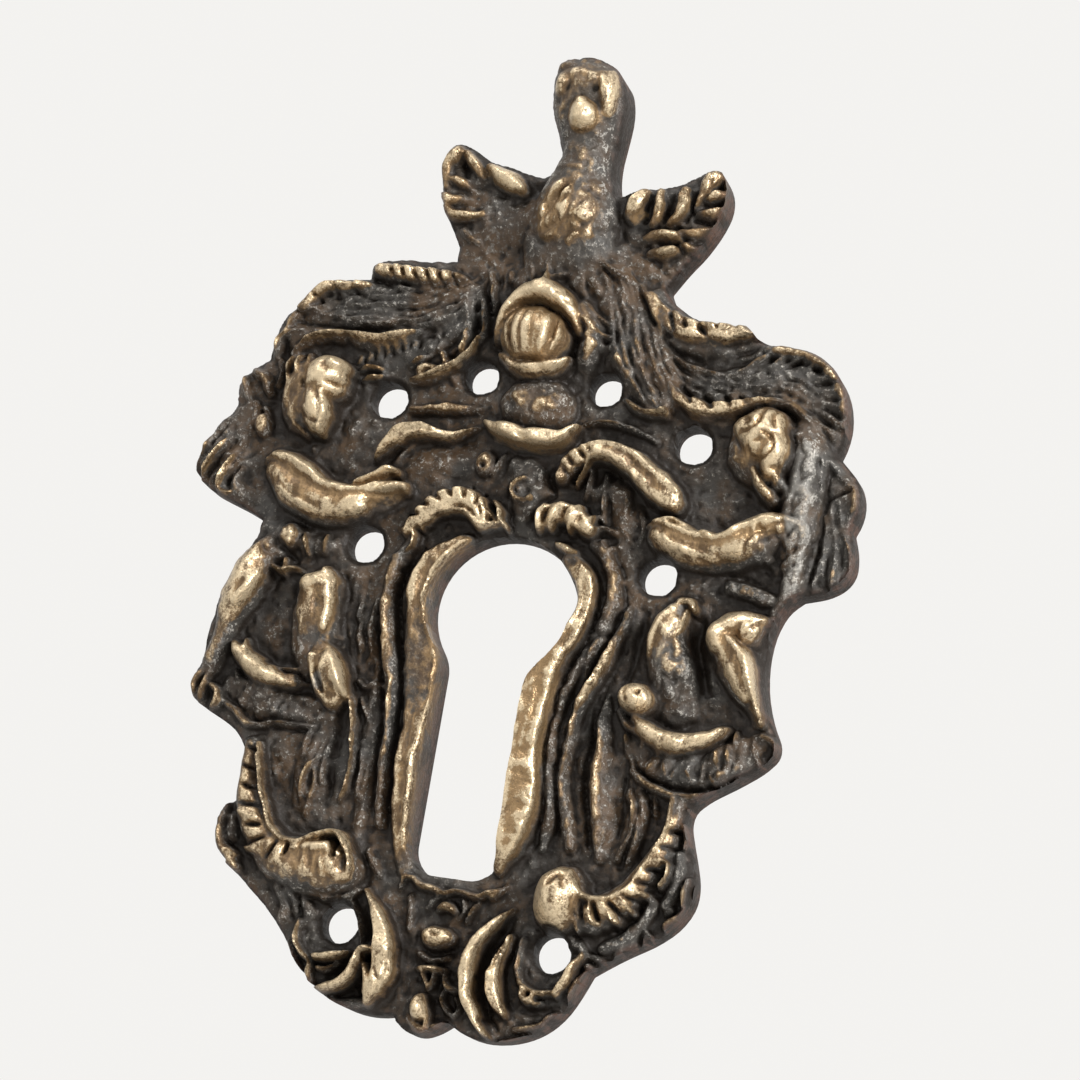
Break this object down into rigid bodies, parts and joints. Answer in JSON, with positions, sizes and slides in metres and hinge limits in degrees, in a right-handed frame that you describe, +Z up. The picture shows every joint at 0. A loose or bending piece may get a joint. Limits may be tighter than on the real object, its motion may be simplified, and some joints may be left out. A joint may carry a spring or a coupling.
{
  "type": "keyhole escutcheon",
  "caption": "Cast, pierced keyhole escutcheon: a bird with spread wings over scrolls and winged children round a rimmed keyhole, with nail holes through a flat-backed plate.",
  "frame": {"origin": "centre of the keyhole's round part, on the flat back that lies against the door", "axes": "+Z up along the plate's height with the bird at the top, -Y out of the ornamented front, +X to the right as seen from the front"},
  "size_m": [0.052, 0.0067, 0.0756],
  "materials": {
    "bronze": "dark brown-grey patina in the hollows, worn to pale golden metal on the crests"
  },
  "bodies": {
    "root": {"escutcheon": "bronze"}
  },
  "joints": []
}
